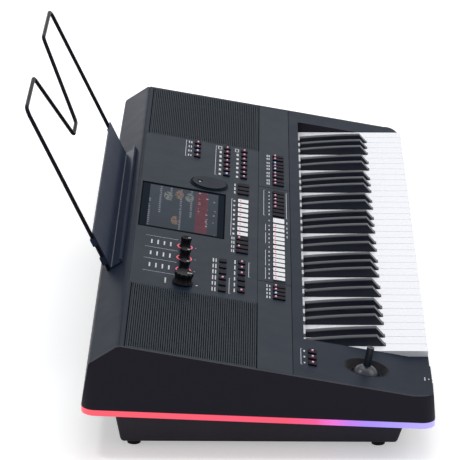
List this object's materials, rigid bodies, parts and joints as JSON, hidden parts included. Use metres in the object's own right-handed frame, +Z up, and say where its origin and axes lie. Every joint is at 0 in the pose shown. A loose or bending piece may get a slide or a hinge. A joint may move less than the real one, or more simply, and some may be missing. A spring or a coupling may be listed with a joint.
{
  "type": "arranger keyboard",
  "caption": "Electronic arranger keyboard with sprung piano keys, a sloped panel of buttons, knobs, dial and display, end speakers, joystick, glowing end bars and a lift-out music stand.",
  "frame": {"origin": "middle of the whole depth and length, on the plane that the rubber feet stand on", "axes": "+X along the keys to the player's right, +Y from the player to the rear, +Z up"},
  "size_m": [1.018, 0.4948, 0.337],
  "materials": {
    "panel_plastic": "satin",
    "case_plastic": "satin",
    "grille_plastic": "matte",
    "white_key": "gloss",
    "black_key": "gloss",
    "white_button": "satin",
    "dark_button": "satin",
    "knob_plastic": "gloss",
    "light_plastic": "translucent",
    "lens": "gloss",
    "module": "satin",
    "board": "satin",
    "chassis": "satin",
    "steel": "brushed",
    "wire_paint": "satin",
    "rubber": "matte",
    "silicone": "matte",
    "felt": "matte",
    "speaker_paper": "matte",
    "nut_plastic": "satin"
  },
  "bodies": {
    "case": {"top_case": "case_plastic", "control_panel": "panel_plastic", "front_rail": "case_plastic", "bottom_case": "case_plastic", "light_bar_left": "light_plastic", "light_bar_right": "light_plastic", "light_boards": "board", "speaker_grille_left": "grille_plastic", "speaker_grille_right": "grille_plastic", "speaker_left": "speaker_paper", "speaker_right": "speaker_paper", "display_lens": "lens", "display_module": "module", "panel_board": "board", "main_board": "board", "key_frame": "chassis", "key_pivot_rod": "steel", "key_contact_board": "board", "contact_rubber_strip": "silicone", "key_return_springs": "steel", "key_felt_strips": "felt", "joystick_housing": "case_plastic", "jack_sockets": "nut_plastic", "rear_ports": "steel", "rubber_feet": "rubber", "case_screws": "steel", "rotary_encoders": "nut_plastic", "knob_light_rings": "light_plastic"},
    "keys_c": {"keys_c": "white_key"},
    "keys_c_sharp": {"keys_c_sharp": "black_key"},
    "keys_d": {"keys_d": "white_key"},
    "keys_d_sharp": {"keys_d_sharp": "black_key"},
    "keys_e": {"keys_e": "white_key"},
    "keys_f": {"keys_f": "white_key"},
    "keys_f_sharp": {"keys_f_sharp": "black_key"},
    "keys_g": {"keys_g": "white_key"},
    "keys_g_sharp": {"keys_g_sharp": "black_key"},
    "keys_a": {"keys_a": "white_key"},
    "keys_a_sharp": {"keys_a_sharp": "black_key"},
    "keys_b": {"keys_b": "white_key"},
    "voice_buttons": {"voice_buttons": "dark_button"},
    "bank_buttons": {"bank_buttons": "dark_button"},
    "mode_buttons": {"mode_buttons": "dark_button"},
    "part_buttons": {"part_buttons": "white_button"},
    "style_buttons": {"style_buttons": "white_button"},
    "registration_buttons": {"registration_buttons": "dark_button"},
    "memory_buttons": {"memory_buttons": "dark_button"},
    "sync_buttons": {"sync_buttons": "dark_button"},
    "left_panel_buttons": {"left_panel_buttons": "dark_button"},
    "octave_buttons": {"octave_buttons": "dark_button"},
    "knob_1": {"knob_1": "knob_plastic"},
    "knob_2": {"knob_2": "knob_plastic"},
    "knob_3": {"knob_3": "knob_plastic"},
    "volume_knob": {"volume_knob": "knob_plastic"},
    "data_dial": {"data_dial": "knob_plastic"},
    "joystick_yoke": {"joystick_yoke": "nut_plastic"},
    "joystick_stick": {"joystick_stick": "knob_plastic"},
    "power_button": {"power_button": "dark_button"},
    "music_stand": {"music_stand_plate": "wire_paint", "music_stand_wire": "wire_paint"}
  },
  "joints": [
    {"name": "press_keys_c", "type": "hinge", "parent": "case", "child": "keys_c", "pos_m": [0, -0.04443, 0.078], "axis": [1, 0, 0], "range_deg": [0, 2.9], "stiffness_Nm_per_rad": 3, "springref_deg": -14.32},
    {"name": "press_keys_c_sharp", "type": "hinge", "parent": "case", "child": "keys_c_sharp", "pos_m": [0, -0.04443, 0.078], "axis": [1, 0, 0], "range_deg": [0, 2.9], "stiffness_Nm_per_rad": 3, "springref_deg": -14.32},
    {"name": "press_keys_d", "type": "hinge", "parent": "case", "child": "keys_d", "pos_m": [0, -0.04443, 0.078], "axis": [1, 0, 0], "range_deg": [0, 2.9], "stiffness_Nm_per_rad": 3, "springref_deg": -14.32},
    {"name": "press_keys_d_sharp", "type": "hinge", "parent": "case", "child": "keys_d_sharp", "pos_m": [0, -0.04443, 0.078], "axis": [1, 0, 0], "range_deg": [0, 2.9], "stiffness_Nm_per_rad": 3, "springref_deg": -14.32},
    {"name": "press_keys_e", "type": "hinge", "parent": "case", "child": "keys_e", "pos_m": [0, -0.04443, 0.078], "axis": [1, 0, 0], "range_deg": [0, 2.9], "stiffness_Nm_per_rad": 3, "springref_deg": -14.32},
    {"name": "press_keys_f", "type": "hinge", "parent": "case", "child": "keys_f", "pos_m": [0, -0.04443, 0.078], "axis": [1, 0, 0], "range_deg": [0, 2.9], "stiffness_Nm_per_rad": 3, "springref_deg": -14.32},
    {"name": "press_keys_f_sharp", "type": "hinge", "parent": "case", "child": "keys_f_sharp", "pos_m": [0, -0.04443, 0.078], "axis": [1, 0, 0], "range_deg": [0, 2.9], "stiffness_Nm_per_rad": 3, "springref_deg": -14.32},
    {"name": "press_keys_g", "type": "hinge", "parent": "case", "child": "keys_g", "pos_m": [0, -0.04443, 0.078], "axis": [1, 0, 0], "range_deg": [0, 2.9], "stiffness_Nm_per_rad": 3, "springref_deg": -14.32},
    {"name": "press_keys_g_sharp", "type": "hinge", "parent": "case", "child": "keys_g_sharp", "pos_m": [0, -0.04443, 0.078], "axis": [1, 0, 0], "range_deg": [0, 2.9], "stiffness_Nm_per_rad": 3, "springref_deg": -14.32},
    {"name": "press_keys_a", "type": "hinge", "parent": "case", "child": "keys_a", "pos_m": [0, -0.04443, 0.078], "axis": [1, 0, 0], "range_deg": [0, 2.9], "stiffness_Nm_per_rad": 3, "springref_deg": -14.32},
    {"name": "press_keys_a_sharp", "type": "hinge", "parent": "case", "child": "keys_a_sharp", "pos_m": [0, -0.04443, 0.078], "axis": [1, 0, 0], "range_deg": [0, 2.9], "stiffness_Nm_per_rad": 3, "springref_deg": -14.32},
    {"name": "press_keys_b", "type": "hinge", "parent": "case", "child": "keys_b", "pos_m": [0, -0.04443, 0.078], "axis": [1, 0, 0], "range_deg": [0, 2.9], "stiffness_Nm_per_rad": 3, "springref_deg": -14.32},
    {"name": "press_voice_buttons", "type": "slide", "parent": "case", "child": "voice_buttons", "axis": [0, 0.1751, -0.9846], "range_m": [0, 0.0012], "stiffness_N_per_m": 200, "springref_m": -0.003},
    {"name": "press_bank_buttons", "type": "slide", "parent": "case", "child": "bank_buttons", "axis": [0, 0.1751, -0.9846], "range_m": [0, 0.0012], "stiffness_N_per_m": 200, "springref_m": -0.003},
    {"name": "press_mode_buttons", "type": "slide", "parent": "case", "child": "mode_buttons", "axis": [0, 0.1751, -0.9846], "range_m": [0, 0.0012], "stiffness_N_per_m": 200, "springref_m": -0.003},
    {"name": "press_part_buttons", "type": "slide", "parent": "case", "child": "part_buttons", "axis": [0, 0.1751, -0.9846], "range_m": [0, 0.0012], "stiffness_N_per_m": 200, "springref_m": -0.003},
    {"name": "press_style_buttons", "type": "slide", "parent": "case", "child": "style_buttons", "axis": [0, 0.1751, -0.9846], "range_m": [0, 0.0012], "stiffness_N_per_m": 200, "springref_m": -0.003},
    {"name": "press_registration_buttons", "type": "slide", "parent": "case", "child": "registration_buttons", "axis": [0, 0.1751, -0.9846], "range_m": [0, 0.0012], "stiffness_N_per_m": 200, "springref_m": -0.003},
    {"name": "press_memory_buttons", "type": "slide", "parent": "case", "child": "memory_buttons", "axis": [0, 0.1751, -0.9846], "range_m": [0, 0.0012], "stiffness_N_per_m": 200, "springref_m": -0.003},
    {"name": "press_sync_buttons", "type": "slide", "parent": "case", "child": "sync_buttons", "axis": [0, 0.1751, -0.9846], "range_m": [0, 0.0012], "stiffness_N_per_m": 200, "springref_m": -0.003},
    {"name": "press_left_panel_buttons", "type": "slide", "parent": "case", "child": "left_panel_buttons", "axis": [0, 0.1751, -0.9846], "range_m": [0, 0.0012], "stiffness_N_per_m": 200, "springref_m": -0.003},
    {"name": "press_octave_buttons", "type": "slide", "parent": "case", "child": "octave_buttons", "axis": [0, 0.1751, -0.9846], "range_m": [0, 0.0012], "stiffness_N_per_m": 200, "springref_m": -0.003},
    {"name": "turn_knob_1", "type": "hinge", "parent": "case", "child": "knob_1", "pos_m": [-0.223, 0.05358, 0.12893], "axis": [0, -0.1751, 0.9846], "continuous": true},
    {"name": "turn_knob_2", "type": "hinge", "parent": "case", "child": "knob_2", "pos_m": [-0.181, 0.05358, 0.12893], "axis": [0, -0.1751, 0.9846], "continuous": true},
    {"name": "turn_knob_3", "type": "hinge", "parent": "case", "child": "knob_3", "pos_m": [-0.139, 0.05358, 0.12893], "axis": [0, -0.1751, 0.9846], "continuous": true},
    {"name": "turn_volume_knob", "type": "hinge", "parent": "case", "child": "volume_knob", "pos_m": [-0.27, 0.05358, 0.12893], "axis": [0, -0.1751, 0.9846], "range_deg": [-150, 150]},
    {"name": "spin_data_dial", "type": "hinge", "parent": "case", "child": "data_dial", "pos_m": [0.119, 0.02757, 0.1243], "axis": [0, -0.1751, 0.9846], "continuous": true},
    {"name": "tilt_joystick_fore_aft", "type": "hinge", "parent": "case", "child": "joystick_yoke", "pos_m": [-0.444, -0.16537, 0.07516], "axis": [1, 0, 0], "range_deg": [-18, 18], "stiffness_Nm_per_rad": 0.06},
    {"name": "tilt_joystick_sideways", "type": "hinge", "parent": "joystick_yoke", "child": "joystick_stick", "pos_m": [-0.444, -0.16537, 0.07516], "axis": [0, 0.9846, 0.1751], "range_deg": [-18, 18], "stiffness_Nm_per_rad": 0.06},
    {"name": "press_power_button", "type": "slide", "parent": "case", "child": "power_button", "axis": [0, -0.9852, -0.1716], "range_m": [0, 0.0025], "stiffness_N_per_m": 250, "springref_m": -0.004},
    {"name": "lift_music_stand", "type": "slide", "parent": "case", "child": "music_stand", "axis": [0, 0.4258, 0.9048], "range_m": [0, 0.06]}
  ]
}
